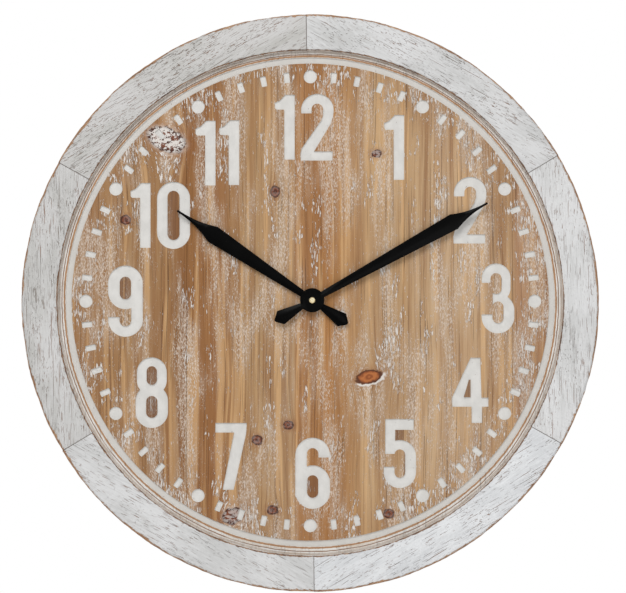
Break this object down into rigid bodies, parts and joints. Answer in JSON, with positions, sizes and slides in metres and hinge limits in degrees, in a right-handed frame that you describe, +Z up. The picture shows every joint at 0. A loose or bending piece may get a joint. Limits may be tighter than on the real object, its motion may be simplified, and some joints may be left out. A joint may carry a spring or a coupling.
{
  "type": "wall clock",
  "caption": "Round farmhouse wall clock: whitewashed mitred wooden rim, plank dial with routed numbers and marks, black hands and a battery movement behind.",
  "frame": {"origin": "centre of the hanger plate's round keyhole on the back face of the rim", "axes": "+Z up, +Y into the wall, so the dial faces -Y, and +X to the right as seen from the front"},
  "size_m": [0.61, 0.0432, 0.61],
  "materials": {
    "rim_whitewash": "whitewashed and rubbed through at the edges",
    "dial_wood": "bare fir with a rubbed white wash and white routed marks",
    "inner_wood": "sawn softwood",
    "dowel_wood": "beech",
    "zinc_steel": "zinc plated",
    "bumper_felt": "grey felt",
    "gasket_rubber": "black",
    "case_plastic": "black, fine spark texture",
    "gear_plastic": "natural acetal",
    "brass": "turned",
    "hand_black": "black satin paint",
    "battery_label": "printed sleeve with plain bands",
    "contact_steel": "nickel plated strip",
    "board_green": "solder mask",
    "chip_epoxy": "epoxy drop",
    "motor_iron": "soft magnetic sheet",
    "bobbin_plastic": "natural nylon",
    "copper_wire": "enamelled copper winding",
    "magnet": "bonded magnet"
  },
  "bodies": {
    "clock": {"rim_segment_1": "rim_whitewash", "rim_segment_2": "rim_whitewash", "rim_segment_3": "rim_whitewash", "rim_segment_4": "rim_whitewash", "rim_segment_5": "rim_whitewash", "rim_segment_6": "rim_whitewash", "rim_dowels": "dowel_wood", "dial_board_1": "dial_wood", "dial_board_2": "dial_wood", "dial_board_3": "dial_wood", "dial_board_4": "dial_wood", "dial_board_5": "dial_wood", "dial_screws": "zinc_steel", "batten_upper": "inner_wood", "batten_lower": "inner_wood", "batten_screws": "zinc_steel", "hanger_plate": "zinc_steel", "hanger_screws": "zinc_steel", "wall_bumpers": "bumper_felt", "movement_front_case": "case_plastic", "movement_back_cover": "case_plastic", "middle_plate": "gear_plastic", "shaft_bushing": "brass", "bushing_gasket": "gasket_rubber", "bushing_washer": "zinc_steel", "bushing_nut": "brass", "battery_contact_plus": "contact_steel", "battery_contact_minus": "contact_steel", "circuit_board": "board_green", "clock_chip": "chip_epoxy", "quartz_crystal": "contact_steel", "stator": "motor_iron", "coil_core": "motor_iron", "coil_bobbin": "bobbin_plastic", "coil_winding": "copper_wire"},
    "minute_hand": {"minute_hand": "hand_black", "minute_nut": "brass", "minute_arbor": "brass", "centre_wheel": "gear_plastic"},
    "hour_hand": {"hour_hand": "hand_black", "hour_wheel": "gear_plastic"},
    "motion_wheel": {"motion_wheel": "gear_plastic"},
    "set_knob": {"set_knob": "gear_plastic"},
    "third_wheel": {"third_wheel": "gear_plastic"},
    "seconds_wheel": {"seconds_wheel": "gear_plastic"},
    "intermediate_wheel": {"intermediate_wheel": "gear_plastic"},
    "rotor": {"rotor": "magnet"},
    "battery": {"battery": "battery_label"}
  },
  "joints": [
    {"name": "minute_hand_turn", "type": "hinge", "parent": "clock", "child": "minute_hand", "pos_m": [0.002, -0.01, -0.283], "axis": [0, 1, 0], "continuous": true},
    {"name": "hour_hand_turn", "type": "hinge", "parent": "clock", "child": "hour_hand", "pos_m": [0.002, -0.01, -0.283], "axis": [0, 1, 0], "continuous": true},
    {"name": "motion_wheel_turn", "type": "hinge", "parent": "clock", "child": "motion_wheel", "pos_m": [0.01183, -0.01, -0.28988], "axis": [0, 1, 0], "continuous": true},
    {"name": "set_knob_turn", "type": "hinge", "parent": "clock", "child": "set_knob", "pos_m": [0.02222, -0.01, -0.29588], "axis": [0, 1, 0], "continuous": true},
    {"name": "third_wheel_turn", "type": "hinge", "parent": "clock", "child": "third_wheel", "pos_m": [0.00981, -0.01, -0.27644], "axis": [0, 1, 0], "continuous": true},
    {"name": "seconds_wheel_turn", "type": "hinge", "parent": "clock", "child": "seconds_wheel", "pos_m": [0.002, -0.01, -0.283], "axis": [0, 1, 0], "continuous": true},
    {"name": "intermediate_wheel_turn", "type": "hinge", "parent": "clock", "child": "intermediate_wheel", "pos_m": [-0.00627, -0.01, -0.27606], "axis": [0, 1, 0], "continuous": true},
    {"name": "rotor_turn", "type": "hinge", "parent": "clock", "child": "rotor", "pos_m": [-0.01344, -0.01, -0.28108], "axis": [0, 1, 0], "continuous": true},
    {"name": "battery_out", "type": "slide", "parent": "clock", "child": "battery", "axis": [0, 1, 0], "range_m": [0, 0.02]}
  ],
  "couplings": [
    {"joint": "hour_hand_turn", "follows": "minute_hand_turn", "ratio": 0.083333},
    {"joint": "motion_wheel_turn", "follows": "minute_hand_turn", "ratio": -0.33333},
    {"joint": "set_knob_turn", "follows": "minute_hand_turn", "ratio": 1},
    {"joint": "third_wheel_turn", "follows": "minute_hand_turn", "ratio": -7.5},
    {"joint": "seconds_wheel_turn", "follows": "minute_hand_turn", "ratio": 60},
    {"joint": "intermediate_wheel_turn", "follows": "minute_hand_turn", "ratio": -300},
    {"joint": "rotor_turn", "follows": "minute_hand_turn", "ratio": 1800}
  ]
}
